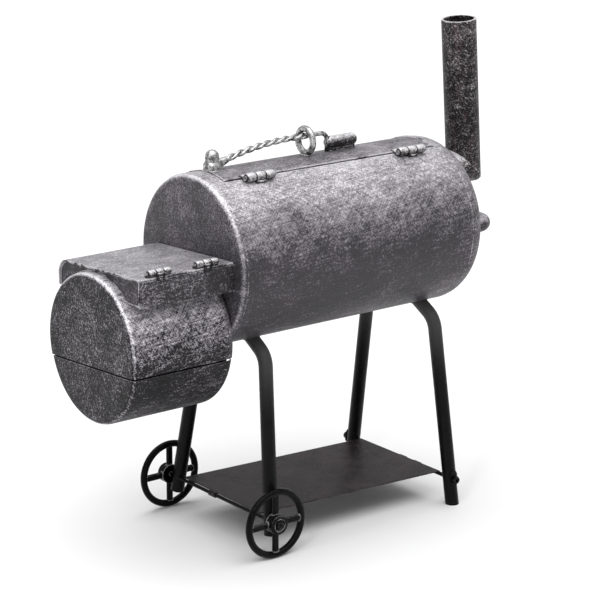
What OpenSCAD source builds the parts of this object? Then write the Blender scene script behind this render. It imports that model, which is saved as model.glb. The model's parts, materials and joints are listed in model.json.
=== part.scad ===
// Offset smoker: a lying cooking drum with a lower side firebox, a raked
// chimney at the far end, and a four-legged stand on two spoked wheels.
// +Z is up, +X runs from the chimney to the firebox, and -Y is the front,
// where the user lifts the chamber door. The floor is z = 0.

/* [Cooking drum] */
// Outer radius of the drum
barrel_r = 227.5; // [150:0.5:300]
// Length over both end caps
barrel_len = 832; // [500:1:1200]
// Height of the drum's axis
barrel_z = 767.4; // [500:0.1:1000]
// X of the drum's firebox-end face
barrel_x = 336.5; // [200:0.5:500]
// Sheet thickness of drum and firebox
wall = 4; // [2:0.5:8]
// Edge rounding of the cap at the firebox end
cap_round_fire = 16; // [6:1:40]
// Edge rounding of the cap at the chimney end
cap_round_flue = 55; // [10:1:90]

/* [Chamber door] */
// Angle of the hinge-side edge, behind the crest
door_back = 18.2; // [5:0.1:40]
// Angle of the handle-side edge, in front of the crest
door_front = 80; // [40:1:100]
// X of the door's chimney-side edge
door_x0 = -425.5; // [-480:0.5:-200]
// X of the door's firebox-side edge
door_x1 = 281.5; // [100:0.5:320]
// Clearance round the door
door_gap = 1; // [0.5:0.1:4]
// Angle of the hinge axis behind the crest
hinge_angle = 22.6; // [15:0.1:45]
// Radius of a hinge knuckle
knuckle_r = 12; // [6:0.5:16]
// Length of one three-knuckle hinge
hinge_len = 90; // [40:1:160]
// X of the hinge nearest the firebox
hinge_x1 = 183; // [100:1:220]
// X of the hinge nearest the chimney
hinge_x0 = -328; // [-400:1:-200]

/* [Door handle] */
// Y of the handle's centre line
handle_y = -14; // [-60:1:40]
// X of the domed post
post_x = 256.5; // [200:0.5:270]
// X of the lifting eye
eye_x = -50; // [-100:1:0]
// Height of the rod where it passes the eye
rod_top_z = 1046; // [1020:1:1080]
// Radius of the rod
rod_r = 6.5; // [4:0.5:12]
// X of the rod's down-turned leg
rod_end_x = -122.5; // [-150:0.5:-80]
// Length of the rounded block over its ends
block_len = 106; // [60:1:160]
// Radius of the block
block_r = 17; // [10:0.5:18]

/* [Chimney] */
// Outer radius of the pipe
pipe_r = 48.5; // [30:0.5:80]
// Wall of the pipe
pipe_wall = 6; // [2:0.5:10]
// X of the mitre between pipe and duct
mitre_x = -601.5; // [-700:0.5:-540]
// Height of the duct's axis
duct_z = 894; // [820:1:930]
// X of the pipe's top centre
pipe_top_x = -572.2; // [-640:0.1:-540]
// Height of the pipe's top centre
pipe_top_z = 1309.5; // [1100:0.5:1500]
// Distance of the damper spindle above the mitre
damper_up = 236; // [100:1:350]
// Radius of the damper spindle
spindle_r = 4; // [2:0.5:8]

/* [Firebox] */
// Outer radius of the firebox
fire_r = 197; // [120:1:260]
// Length of the firebox
fire_len = 314.5; // [200:0.5:500]
// Height of the firebox's axis
fire_z = 586.3; // [450:0.1:700]
// Edge rounding at the outer end
fire_round_out = 12; // [4:1:30]
// Edge rounding at the drum end
fire_round_in = 24; // [6:1:50]
// Height of the drawer seam at mid width
seam_z = 539.5; // [480:0.5:580]
// Slope of the seam, rising towards the back
seam_tilt = 3.5; // [0:0.1:6]
// Width of the seam
seam_gap = 6; // [1:0.5:8]
// How far the drawer's skin stands inside the shell's
drawer_inset = 1.5; // [0:0.5:5]

/* [Firebox lid] */
// Height of the lid's back edge
lid_z = 806; // [800:1:830]
// Y of the hood wall's outer face
hood_y = 192; // [150:1:200]
// Height of the hood wall's lower edge
hood_low_z = 730; // [700:1:760]
// X of the lid plate's outer end
lid_x1 = 629; // [560:1:645]
// Slope of the lid towards the front
lid_slope = 3.14; // [0:0.01:8]
// Radius of the lid's rolled front edge
lid_roll = 40; // [10:1:60]
// Y of the roll's centre
lid_roll_y = -135.8; // [-160:0.1:-100]
// Height of the lid skirt's lower edge
lid_low_z = 716; // [690:1:760]
// Plate thickness of the lid
lid_t = 5; // [2:0.5:8]
// Radius of a lid hinge knuckle
lid_knuckle_r = 9; // [5:0.5:14]
// Length of one lid hinge
lid_hinge_len = 68; // [40:1:120]

/* [Stand] */
// Outer radius of a leg tube
leg_r = 19; // [12:0.5:30]
// Wall of a leg tube
leg_wall = 3; // [1.5:0.5:5]
// Height where a leg bends in to the drum
knee_z = 490; // [400:1:520]
// Y of a leg's axis at the knee
knee_y = 146.3; // [100:0.1:180]
// Outward splay of the legs, mm for each mm down
splay = 0.153; // [0:0.001:0.3]
// Bend radius at the knee
knee_bend = 60; // [40:1:100]
// Bend angle at the knee
knee_turn = 52; // [20:1:70]
// X of the firebox-end legs at the knee
knee_fire_x = 204; // [150:0.1:260]
// X of the chimney-end legs at the knee
knee_flue_x = -379.7; // [-420:0.1:-300]
// Lean of the firebox-end legs along X, mm for each mm up
lean_fire = -0.075; // [-0.1:0.005:0.1]
// Lean of the chimney-end legs along X, mm for each mm up
lean_flue = 0.02; // [-0.1:0.01:0.1]
// Height of the firebox-end legs' lower end
leg_end_z = 52; // [20:1:80]
// Radius of the tie bar between the chimney-end legs
tie_r = 5.5; // [4:0.5:10]
// Height of the tie bar
tie_z = 74; // [40:1:120]
// X of the tie bar
tie_x = -386.5; // [-400:0.5:-370]

/* [Wheels] */
// Outer radius of a wheel
wheel_r = 95; // [60:1:140]
// Radius of the round rim section
rim_r = 9.4; // [5:0.1:14]
// X of the axle
axle_x = 243.5; // [200:0.5:280]
// Radius of the axle
axle_r = 5; // [4:0.5:10]
// Y of a wheel's middle plane
wheel_y = 240; // [230:0.5:280]
// Radius of a wheel hub
hub_r = 27; // [16:1:40]
// Height of a wheel hub beyond the middle plane
hub_out = 21; // [12:1:40]

/* [Shelf] */
// Half width of the shelf sheet
shelf_half = 172; // [100:1:190]
// Thickness of the shelf sheet
shelf_t = 3; // [1:0.5:6]

/* [Lift handle] */
// Radius of the lift handle's tube
lift_r = 22.5; // [10:0.5:25]
// Half the distance between its two ends
lift_y = 160; // [80:1:170]
// Distance of its grip from the cap
lift_out = 55; // [40:1:100]
// Bend radius of its corners
lift_bend = 34; // [25:1:60]
// Height of the lift handle
lift_z = 768; // [700:1:820]

/* [Hidden] */
$fn = 64;
eps = 0.01;
far = 900;
barrel_x0 = barrel_x - barrel_len;
fire_x1 = barrel_x + fire_len;
running = 0.05;          // radial clearance of a pin in its bore
lap = 0.5;               // how far a straight tube runs into a bend
slip = 0.02;             // how much thinner it is there
pin_r = 4;
stop_t = 3;
grate_z = 744;           // height of the grate rails' top
side_gap = 0.4;          // gap at the door's lower edge, degrees
hinge_gap = 0.9;         // gap at its hinge edge, degrees
bead_a = 1.6;            // width of the door's hinge-edge bead, degrees
bead_w = 5;              // width of the beads on the door's ends
bead_h = 3;              // height of the beads
hinge_axis_r = barrel_r + knuckle_r + 0.5;
hinge_y = hinge_axis_r * sin(hinge_angle);
hinge_z = barrel_z + hinge_axis_r * cos(hinge_angle);
strap_lift = 0.6;        // air under the door hinge straps
strap_t = 5;
knuckle_gap = 0.6;
lid_x0 = barrel_x + 4;
lid_end_x = lid_x1 - 5;  // outer face of the lid's end plate
lid_hinge_y = hood_y - 6;
lid_hinge_z = lid_z + lid_knuckle_r + 1.5;
lid_hinge_xs = [421.5, 565.5];
hinge_xs = [hinge_x0, hinge_x1];
pipe_lean = atan((pipe_top_x - mitre_x) / (pipe_top_z - duct_z));
pipe_len = norm([pipe_top_x - mitre_x, pipe_top_z - duct_z]);
elbow_r = 59;            // how far the elbow's corner reaches
splay_a = atan(splay);
axle_z = wheel_r;
leg_bore = 0.1;
shelf_seat = 0.3;        // air between the shelf and its two bars
shelf_tilt = atan((axle_z + axle_r - tie_z - tie_r) / (axle_x - tie_x));
shelf_x0 = tie_x + 1;
shelf_x1 = axle_x - 1;
pewter = [0.42, 0.41, 0.42];
dark = [0.25, 0.24, 0.25];
black = [0.06, 0.06, 0.06];
silver = [0.75, 0.74, 0.72];

// ---- shared shapes -------------------------------------------------

// A flat outline drawn in Y (across) and Z (up), drawn out along X.
module along_x(x0, x1) {
    translate([x0, 0, 0]) rotate([90, 0, 90]) linear_extrude(x1 - x0)
        children();
}

// A profile of radius (across) and X (up), turned about an X axis.
module turned_x(z) {
    translate([0, 0, z]) rotate([90, 0, 90]) rotate_extrude() children();
}

// A round bar along X from x0 to x1.
module bar_x(x0, x1, y, z, r) {
    translate([x0, y, z]) rotate([0, 90, 0]) cylinder(r = r, h = x1 - x0);
}

// A round bar along Y from y0 to y1.
module bar_y(x, y0, y1, z, r) {
    translate([x, y0, z]) rotate([-90, 0, 0]) cylinder(r = r, h = y1 - y0);
}

module ring(r, t) {
    difference() {
        circle(r);
        circle(r - t);
    }
}

// A fan from angle a to angle b, both measured from straight up
// towards +Y.
module fan(a, b, r) {
    polygon(concat([[0, 0]], [for (i = [0 : 4])
        let (c = a + (b - a) * i / 4) r * [sin(c), cos(c)]]));
}

// Part of a ring between two radii and two angles.
module ring_part(a, b, r0, r1) {
    intersection() {
        ring(r1, r1 - r0);
        fan(a, b, 2 * r1);
    }
}

// Half profile of a dished cap: outer face at 0, rim at -f.
module cap_profile(r, f, t) {
    intersection() {
        difference() {
            union() {
                translate([0, -f]) square([r - f, f]);
                translate([r - f, -f]) circle(f);
            }
            union() {
                translate([-1, -f - 1]) square([r - f + 1, f + 1 - t]);
                translate([r - f, -f]) circle(f - t);
            }
        }
        translate([0, -f]) square([r, f]);
    }
}

// The drum's outside as one solid, for trimming what is welded to it.
module barrel_solid() {
    turned_x(barrel_z) union() {
        translate([0, barrel_x0 + cap_round_flue])
            square([barrel_r, barrel_len - cap_round_flue]);
        intersection() {
            translate([0, barrel_x0]) square([barrel_r, 200]);
            union() {
                translate([0, barrel_x0])
                    square([barrel_r - cap_round_flue, 100]);
                translate([barrel_r - cap_round_flue,
                    barrel_x0 + cap_round_flue]) circle(cap_round_flue);
            }
        }
    }
}

// The opening between drum and firebox, common to both caps.
module throat() {
    along_x(barrel_x - 3 * wall, barrel_x + 3 * wall) intersection() {
        translate([0, barrel_z]) circle(barrel_r - 37);
        translate([0, fire_z]) circle(fire_r - 37);
    }
}

// Everything above (up = 1) or below (up = -1) the drawer seam.
module seam_side(up) {
    translate([0, 0, seam_z]) rotate([seam_tilt, 0, 0])
        translate([0, -far / 2, up > 0 ? seam_gap / 2 : -far - seam_gap / 2])
            cube([far, far, far]);
}

// The firebox's tilted seam frame: across and up from the seam's middle.
module in_seam(x0, x1) {
    translate([0, 0, seam_z]) rotate([seam_tilt, 0, 0]) along_x(x0, x1)
        children();
}

// Three knuckles' spans along X for a hinge centred on x: 0 and 2 move.
function knuckle_span(x, len, i) =
    let (w = (len - 2 * knuckle_gap) / 3, a = x - len / 2 + i * (w + knuckle_gap))
    [a, a + w];

// ---- cooking drum --------------------------------------------------

module barrel_shell() {
    color(pewter) difference() {
        along_x(barrel_x0 + cap_round_flue, barrel_x - cap_round_fire)
            translate([0, barrel_z]) ring(barrel_r, wall);
        along_x(door_x0 - door_gap, door_x1 + door_gap)
            translate([0, barrel_z])
                fan(-door_front - side_gap, door_back + hinge_gap, 2 * barrel_r);
    }
}

module barrel_cap_fire() {
    color(dark) difference() {
        turned_x(barrel_z) translate([0, barrel_x])
            cap_profile(barrel_r, cap_round_fire, wall);
        throat();
    }
}

module barrel_cap_flue() {
    color(dark) difference() {
        turned_x(barrel_z) translate([0, barrel_x0]) mirror([0, 1])
            cap_profile(barrel_r, cap_round_flue, wall);
        bar_x(barrel_x0 - 10, barrel_x0 + cap_round_flue, 0, duct_z,
            pipe_r - pipe_wall);
    }
}

// A picture frame of strips inside the door opening: the door shuts on it.
module door_stops() {
    r1 = barrel_r - wall;
    color(dark) difference() {
        along_x(door_x0 - 14, door_x1 + 14) translate([0, barrel_z])
            ring_part(-door_front - 3.5, door_back + 3.5, r1 - stop_t, r1);
        along_x(door_x0 + 12, door_x1 - 12) translate([0, barrel_z])
            fan(-door_front + 3, door_back - 3, 2 * barrel_r);
    }
}

// Two angle irons that carry the cooking grates.
module grate_rails() {
    color(dark) for (s = [0, 1]) mirror([0, s, 0])
        along_x(barrel_x0 + 65, barrel_x - 18) intersection() {
            translate([0, barrel_z]) circle(barrel_r - wall);
            union() {
                translate([190, grate_z - 3]) square([40, 3]);
                translate([190, grate_z - 18]) square([3, 18]);
            }
        }
}

// One welded cooking grate from x0 to x1.
module cooking_grate(x0, x1) {
    bars = 18;
    half = 212;
    frame_r = 4;
    bar_r = 3;
    inset = 8;           // first bar's axis from the frame's end
    reach = half - 3;
    color(dark) union() {
        for (s = [-1, 1])
            bar_x(x0, x1, s * (half - frame_r), grate_z + frame_r, frame_r);
        for (i = [0 : bars - 1])
            bar_y(x0 + inset + (x1 - x0 - 2 * inset) * i / (bars - 1),
                -reach, reach, grate_z + frame_r + 2.5, bar_r);
    }
}

module grate_flue() cooking_grate(-422, -56);
module grate_fire() cooking_grate(-52, 314);

// ---- chamber door --------------------------------------------------

// The curved panel, thicker along its hinge edge and its two ends.
module chamber_door() {
    color(pewter) difference() {
        along_x(door_x0, door_x1) translate([0, barrel_z])
            ring_part(-door_front, door_back, barrel_r - wall + 0.4,
                barrel_r + bead_h);
        along_x(door_x0 + bead_w, door_x1 - bead_w) translate([0, barrel_z])
            ring_part(-door_front - 2, door_back - bead_a, barrel_r,
                barrel_r + 2 * bead_h);
    }
}

// The raised hinge edge alone, for trimming the straps that cross it.
module hinge_edge_bead() {
    along_x(door_x0, door_x1) translate([0, barrel_z])
        ring_part(door_back - bead_a, door_back, barrel_r - 1,
            barrel_r + bead_h);
}

module knuckle_outline() {
    translate([hinge_y, hinge_z]) circle(knuckle_r);
}

module door_pin_bores() {
    bar_x(-far, far, hinge_y, hinge_z, pin_r + running);
}

// The middle knuckles, welded to the drum.
module door_hinge_fixed() {
    color(pewter) difference() {
        for (x = hinge_xs) let (k = knuckle_span(x, hinge_len, 1))
            along_x(k[0], k[1]) difference() {
                union() {
                    knuckle_outline();
                    translate([0, barrel_z]) ring_part(hinge_angle - 1.6,
                        hinge_angle + 3.6, barrel_r - 2, barrel_r + 7);
                }
                translate([0, barrel_z]) circle(barrel_r);
            }
        door_pin_bores();
    }
}

// The outer knuckles, each with a strap welded to the door.
module door_hinge_moving() {
    color(pewter) difference() {
        for (x = hinge_xs, i = [0, 2]) let (k = knuckle_span(x, hinge_len, i))
            along_x(k[0], k[1]) translate([0, barrel_z]) union() {
                translate([0, -barrel_z]) knuckle_outline();
                ring_part(door_back - bead_a - 2, door_back - bead_a,
                    barrel_r, barrel_r + strap_t);
                ring_part(door_back - bead_a - 1, hinge_angle,
                    barrel_r + strap_lift, barrel_r + strap_t);
            }
        hinge_edge_bead();
        door_pin_bores();
    }
}

module door_hinge_pins() {
    color(silver) for (x = hinge_xs) {
        bar_x(x - hinge_len / 2 - 3, x + hinge_len / 2 + 3,
            hinge_y, hinge_z, pin_r);
        for (s = [-1, 1])
            bar_x(x + s * (hinge_len / 2 + 2) - 1.5,
                x + s * (hinge_len / 2 + 2) + 1.5, hinge_y, hinge_z, 7);
    }
}

// The drum's outer skin under the handle, for trimming its feet.
module door_skin() {
    bar_x(-far, far, 0, barrel_z, barrel_r);
}

rod_start = [208.5, 1017];         // X and Z where the rod leaves the post
rod_rise = rod_top_z - rod_start[1];
rod_flat_x = -8.5;                 // X where the rise has levelled out
rod_run = rod_start[0] - rod_flat_x;
rod_arc_r = (pow(rod_run, 2) + pow(rod_rise, 2)) / (2 * rod_rise);
rod_arc_a = asin(rod_run / rod_arc_r);
rod_bend = 22;
block_x1 = rod_end_x + 7;          // its end holds the rod's leg in a slot
block_z = 1018;

// The domed left-hand post with its tapered socket.
module handle_post() {
    dome_r = 18.5;
    dome_z = 1030.5;
    skirt_r = 24;
    skirt_z = 1010;
    color(silver) difference() {
        union() {
            translate([post_x, handle_y, 980])
                cylinder(r = skirt_r, h = skirt_z - 980);
            translate([post_x, handle_y, skirt_z])
                cylinder(r1 = skirt_r, r2 = skirt_r - 5, h = 8);
            translate([post_x, handle_y, 990])
                cylinder(r = dome_r - 2.5, h = dome_z - 990);
            translate([post_x, handle_y, dome_z - 9]) cylinder(r = dome_r, h = 9);
            translate([post_x, handle_y, dome_z]) sphere(dome_r);
            translate([rod_start[0], handle_y, rod_start[1]])
                rotate([0, 90 + rod_arc_a, 0])
                    cylinder(r1 = 8.5, r2 = 16, h = 42);
        }
        door_skin();
        bar_x(door_x1 - bead_w, far, 0, barrel_z, barrel_r + bead_h);
    }
}

// The rod: a rising arc, a level run through the eye, a bend, a leg.
module handle_rod() {
    color(silver) difference() {
        translate([0, handle_y, 0]) union() {
            translate([rod_flat_x, 0, rod_top_z - rod_arc_r])
                rotate([90, 0, 0]) rotate([0, 0, 90 - rod_arc_a])
                    rotate_extrude(angle = rod_arc_a, $fn = 360)
                        translate([rod_arc_r, 0]) circle(rod_r, $fn = 48);
            bar_x(rod_end_x + rod_bend - lap, rod_flat_x + lap, 0, rod_top_z,
                rod_r - slip);
            translate([rod_end_x + rod_bend, 0, rod_top_z - rod_bend])
                rotate([90, 0, 0]) rotate([0, 0, 90])
                    rotate_extrude(angle = 90)
                        translate([rod_bend, 0]) circle(rod_r);
            translate([rod_end_x, 0, 985])
                cylinder(r = rod_r - slip, h = rod_top_z - rod_bend - 985 + lap);
        }
        door_skin();
    }
}

// The lifting eye, welded upright on the door's crest.
module handle_eye() {
    wire = 8.8;
    mid = 32;
    color(silver) difference() {
        union() {
            translate([eye_x, handle_y, barrel_z + barrel_r + mid + 6])
                rotate([0, 90, 0]) rotate_extrude()
                    translate([mid, 0]) circle(wire);
            translate([eye_x, handle_y, 985]) cylinder(r = 10, h = 17);
        }
        door_skin();
    }
}

// The block's rounded body, without its neck.
module block_body() {
    x1 = block_x1;
    x0 = x1 - block_len;
    bar_x(x0 + block_r, x1 - block_r, handle_y, block_z, block_r);
    for (x = [x0 + block_r, x1 - block_r])
        translate([x, handle_y, block_z]) sphere(block_r);
}

// The block on its narrower neck, which stands on the door.
module handle_block() {
    neck_x1 = block_x1 - 26;
    neck_x0 = block_x1 - block_len + 16;
    neck_low = 985;
    color(dark) difference() {
        union() {
            block_body();
            for (x = [neck_x0, neck_x1]) translate([x, handle_y, neck_low])
                cylinder(r = 10, h = block_z - neck_low);
            translate([neck_x0, handle_y - 8, neck_low])
                cube([neck_x1 - neck_x0, 16, block_z - neck_low]);
        }
        door_skin();
        translate([rod_end_x, handle_y, 980]) cylinder(r = rod_r + 1.5, h = 80);
    }
}

// ---- chimney -------------------------------------------------------

// Half-space on the pipe's (up = 1) or the duct's (up = -1) side.
module mitre_side(up) {
    translate([mitre_x, 0, duct_z]) rotate([0, -(90 - pipe_lean) / 2, 0])
        translate([-far / 2, -far / 2, up > 0 ? 0 : -far])
            cube([far, far, far]);
}

module in_pipe() {
    translate([mitre_x, 0, duct_z]) rotate([0, pipe_lean, 0]) children();
}

// How far the mitred corner may reach: within c of the elbow's middle.
module elbow_ball(c) {
    translate([mitre_x, 0, duct_z]) sphere(c);
}

// The pipe as a plain bar of radius r, its lower corner rounded to c.
module pipe_limb(r, c, over) {
    intersection() {
        in_pipe() translate([0, 0, -100]) cylinder(r = r,
            h = pipe_len + 100 + over);
        union() {
            elbow_ball(c);
            in_pipe() cylinder(r = 2 * pipe_r, h = pipe_len + 50);
        }
    }
}

// The duct as a plain bar of radius r, its outer corner rounded to c.
module duct_limb(r, c, over) {
    intersection() {
        bar_x(mitre_x - 100, barrel_x0 + 30 + over, 0, duct_z, r);
        union() {
            elbow_ball(c);
            bar_x(mitre_x, barrel_x0 + 60, 0, duct_z, 2 * pipe_r);
        }
    }
}

module stack_pipe() {
    color(dark) difference() {
        intersection() {
            pipe_limb(pipe_r, elbow_r, 0);
            mitre_side(1);
        }
        pipe_limb(pipe_r - pipe_wall, elbow_r - pipe_wall, 20);
        in_pipe() bar_y(0, -pipe_r - 5, pipe_r - 1.5, damper_up,
            spindle_r + running);
    }
}

module stack_duct() {
    color(dark) difference() {
        intersection() {
            duct_limb(pipe_r, elbow_r, 0);
            mitre_side(-1);
        }
        duct_limb(pipe_r - pipe_wall, elbow_r - pipe_wall, 10);
        barrel_solid();
    }
}

damper_t = 2.5;

// The damper disc, standing edge-on to the draught.
module damper_plate() {
    color(dark) in_pipe() translate([-damper_t / 2, 0, damper_up])
        rotate([0, 90, 0]) cylinder(r = pipe_r - pipe_wall - 1, h = damper_t);
}

module damper_spindle() {
    color(silver) difference() {
        in_pipe() bar_y(0, -pipe_r - 8, pipe_r - 2.5, damper_up, spindle_r);
        damper_plate();
    }
}

// A flat lever on the spindle's front end, with a turned knob.
module damper_lever() {
    reach = 62;
    y1 = -pipe_r - 3.5;
    color(black) in_pipe() difference() {
        union() {
            translate([-6, y1 - 3, damper_up]) cube([12, 3, reach]);
            bar_y(0, y1 - 3, y1, damper_up, 9);
            bar_y(0, y1 - 10, y1, damper_up + reach, 7);
        }
        bar_y(0, -far / 2, far / 2, damper_up, spindle_r);
    }
}

// ---- firebox -------------------------------------------------------

module firebox_shell() {
    color(pewter) difference() {
        intersection() {
            along_x(barrel_x + fire_round_in, fire_x1 - fire_round_out)
                translate([0, fire_z]) ring(fire_r, wall);
            seam_side(1);
        }
        along_x(barrel_x + 32, lid_end_x - 18) translate([0, fire_z])
            fan(-44, 40, 2 * fire_r);
    }
}

module firebox_cap_outer() {
    color(dark) intersection() {
        turned_x(fire_z) translate([0, fire_x1])
            cap_profile(fire_r, fire_round_out, wall);
        seam_side(1);
    }
}

module firebox_cap_inner() {
    color(dark) difference() {
        intersection() {
            turned_x(fire_z) translate([0, barrel_x]) mirror([0, 1])
                cap_profile(fire_r, fire_round_in, wall);
            seam_side(1);
        }
        throat();
    }
}

// The fixed back wall of the hood, footed on the firebox's shoulder.
module hood_wall() {
    color(pewter) along_x(barrel_x, lid_end_x) difference() {
        union() {
            translate([hood_y - 5, hood_low_z])
                square([5, lid_z - 6.5 - hood_low_z]);
            translate([110, hood_low_z]) square([hood_y - 110, 4]);
        }
        translate([0, fire_z]) circle(fire_r);
    }
}

roll_z = lid_z + (lid_roll_y - hood_y + 2) * tan(lid_slope)
    - lid_roll / cos(lid_slope);

// The lid's side outline, set in by t and ending at back.
module lid_outline(t, back) {
    r = lid_roll - t;
    top = [lid_roll_y, roll_z] + r * [-sin(lid_slope), cos(lid_slope)];
    union() {
        polygon([[back, top[1] + (back - top[0]) * tan(lid_slope)], top,
            [lid_roll_y, roll_z], [lid_roll_y - r, roll_z],
            [lid_roll_y - r, lid_low_z - t], [back, lid_low_z - t]]);
        intersection() {
            translate([lid_roll_y, roll_z]) circle(r);
            translate([lid_roll_y - far / 2, roll_z]) square(far);
        }
    }
}

// Plate, rolled front skirt and two arched end plates.
module firebox_lid() {
    color(pewter) union() {
        along_x(lid_x0, lid_x1) difference() {
            lid_outline(0, hood_y - 1.5);
            lid_outline(lid_t, hood_y + 1);
        }
        for (x = [[lid_x0, lid_x0 + wall], [lid_end_x - lid_t, lid_end_x]])
            along_x(x[0], x[1]) difference() {
                lid_outline(1, hood_y - 9);
                translate([0, fire_z]) circle(fire_r + 0.8);
                translate([100, lid_low_z - 2])
                    square([100, hood_low_z + 6 - lid_low_z]);
            }
    }
}

module lid_pin_bores() {
    bar_x(lid_x0 - 50, lid_x1 + 50, lid_hinge_y, lid_hinge_z,
        pin_r + running);
}

// The middle knuckles, each on a leaf outside the hood wall.
module lid_hinge_fixed() {
    color(pewter) difference() {
        for (x = lid_hinge_xs) let (k = knuckle_span(x, lid_hinge_len, 1))
            along_x(k[0], k[1]) union() {
                translate([lid_hinge_y, lid_hinge_z]) circle(lid_knuckle_r);
                translate([lid_hinge_y, lid_z + 2])
                    square([9, lid_hinge_z - lid_z - 2]);
                translate([hood_y, lid_z - 10]) square([3, 14]);
            }
        lid_pin_bores();
    }
}

// The outer knuckles, each on a pad welded to the lid.
module lid_hinge_moving() {
    color(pewter) difference() {
        for (x = lid_hinge_xs, i = [0, 2])
            let (k = knuckle_span(x, lid_hinge_len, i))
                along_x(k[0], k[1]) difference() {
                    union() {
                        translate([lid_hinge_y, lid_hinge_z])
                            circle(lid_knuckle_r);
                        translate([lid_hinge_y - 13, lid_z - 4])
                            square([17, 8]);
                    }
                    lid_outline(0, hood_y + 1);
                }
        lid_pin_bores();
    }
}

module lid_hinge_pins() {
    color(silver) for (x = lid_hinge_xs)
        bar_x(x - lid_hinge_len / 2 - 1, x + lid_hinge_len / 2 + 1,
            lid_hinge_y, lid_hinge_z, pin_r);
}

rail_in = 158;           // Y of the drawer rails' inner face
rail_t = 3;
rail_up = 11;            // rail top above the seam
rail_down = 18;          // rail foot below the seam
rail_reach = 15;         // width of the rail's lip

// Two folded rails: the drawer hangs on their lips, and the fire grate
// lies on top of them.
module drawer_rails() {
    color(dark) intersection() {
        for (s = [0, 1]) in_seam(barrel_x + 10, fire_x1 - 16) mirror([s, 0])
            union() {
                translate([rail_in, rail_up - rail_t]) square([40, rail_t]);
                translate([rail_in, -rail_down])
                    square([rail_t, rail_down + rail_up]);
                translate([rail_in, -rail_down]) square([rail_reach, rail_t]);
            }
        bar_x(0, far, 0, fire_z, fire_r - wall);
        along_x(barrel_x + fire_round_in, fire_x1 - fire_round_out)
            translate([0, fire_z]) square(3 * fire_r, center = true);
    }
}

module fire_grate() {
    bars = 14;
    half = 181;
    bar_w = 6;
    x0 = barrel_x + 28;
    x1 = fire_x1 - 20;
    color(dark) translate([0, 0, seam_z]) rotate([seam_tilt, 0, 0])
        translate([0, 0, rail_up]) union() {
            for (i = [0 : bars - 1])
                translate([x0, -160 - bar_w / 2 + 320 * i / (bars - 1), 0])
                    cube([x1 - x0, bar_w, 9]);
            for (x = [x0, (x0 + x1 - bar_w) / 2, x1 - bar_w])
                translate([x, -half, 0]) cube([bar_w, 2 * half, 6]);
        }
}

drawer_x0 = barrel_x + 0.5;

// The drawer's trough and rounded inner end, with a hanging flange.
module ash_drawer() {
    r = fire_r - drawer_inset;
    color(pewter) union() {
        difference() {
            intersection() {
                union() {
                    along_x(drawer_x0 + fire_round_in,
                        fire_x1 - drawer_inset - fire_round_out)
                        translate([0, fire_z]) ring(r, wall);
                    turned_x(fire_z) translate([0, drawer_x0]) mirror([0, 1])
                        cap_profile(r, fire_round_in, wall);
                }
                seam_side(-1);
            }
            for (s = [0, 1])
                in_seam(drawer_x0 - 5, drawer_x0 + fire_round_in + 1)
                    mirror([s, 0]) translate([rail_in - 3, -rail_down - 3])
                        square([rail_reach + 7, rail_down + 3]);
        }
        intersection() {
            for (s = [0, 1]) in_seam(drawer_x0 + fire_round_in + 4,
                fire_x1 - 16) mirror([s, 0])
                translate([rail_in + 6, rail_t + 0.3 - rail_down])
                    square([40, 3]);
            bar_x(0, far, 0, fire_z, r - wall / 2);
        }
    }
}

module ash_drawer_front() {
    color(dark) intersection() {
        turned_x(fire_z) translate([0, fire_x1 - drawer_inset])
            cap_profile(fire_r - drawer_inset, fire_round_out, wall);
        seam_side(-1);
    }
}

// ---- stand ---------------------------------------------------------

// Local frame of a +Y leg: origin at the knee, Z up along the tube.
module at_knee(x, lean) {
    translate([x, knee_y, knee_z]) rotate([0, atan(lean), 0])
        rotate([splay_a, 0, 0]) children();
}

// The leg tube's route at radius r, from down below the knee to the drum.
module leg_route(r, down) {
    translate([0, 0, -down]) cylinder(r = r, h = down);
    translate([0, -knee_bend, 0]) rotate([90, 0, 90])
        rotate_extrude(angle = knee_turn) translate([knee_bend, 0]) circle(r);
    translate([0, -knee_bend, 0]) rotate([knee_turn, 0, 0])
        translate([0, knee_bend, -lap]) cylinder(r = r - slip, h = 70);
}

module leg(x, lean, down, floor_z) {
    difference() {
        at_knee(x, lean) difference() {
            leg_route(leg_r, down);
            leg_route(leg_r - leg_wall, down + 1);
        }
        bar_x(-far, far, 0, barrel_z, barrel_r);
        translate([-far, -far, floor_z - far]) cube([2 * far, 2 * far, far]);
        bar_y(axle_x, 0, far, axle_z, axle_r + leg_bore);
        bar_y(tie_x, 0, far, tie_z, tie_r + leg_bore);
    }
}

fire_leg_down = (knee_z - leg_end_z) / cos(splay_a);
flue_leg_down = knee_z / cos(splay_a) + 10;
foot_t = 6;

module leg_fire_back() color(black) leg(knee_fire_x, lean_fire, fire_leg_down, 0);
module leg_fire_front() mirror([0, 1, 0]) leg_fire_back();
module leg_flue_back() color(black) leg(knee_flue_x, lean_flue, flue_leg_down, foot_t);
module leg_flue_front() mirror([0, 1, 0]) leg_flue_back();

// Solid feet under the chimney-end legs, cut level with the floor.
module leg_feet() {
    color(black) for (s = [0, 1]) mirror([0, s, 0]) intersection() {
        at_knee(knee_flue_x, lean_flue)
            translate([0, 0, -flue_leg_down - 30])
                cylinder(r = leg_r, h = flue_leg_down);
        translate([-far, -far, 0]) cube([2 * far, 2 * far, foot_t]);
    }
}

// Domed plugs in the lower ends of the firebox-end legs.
module leg_plugs() {
    dome = 40;
    color(black) for (s = [0, 1]) mirror([0, s, 0])
        at_knee(knee_fire_x, lean_fire) translate([0, 0, -fire_leg_down])
            union() {
                cylinder(r = leg_r - leg_wall, h = 8);
                intersection() {
                    translate([0, 0, sqrt(dome * dome - leg_r * leg_r)])
                        sphere(dome);
                    translate([0, 0, -20]) cylinder(r = leg_r, h = 20);
                }
            }
}

module tie_bar() {
    color(black) bar_y(tie_x, -236, 236, tie_z, tie_r);
}

tie_leg_y = knee_y + splay * (knee_z - tie_z);

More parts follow.
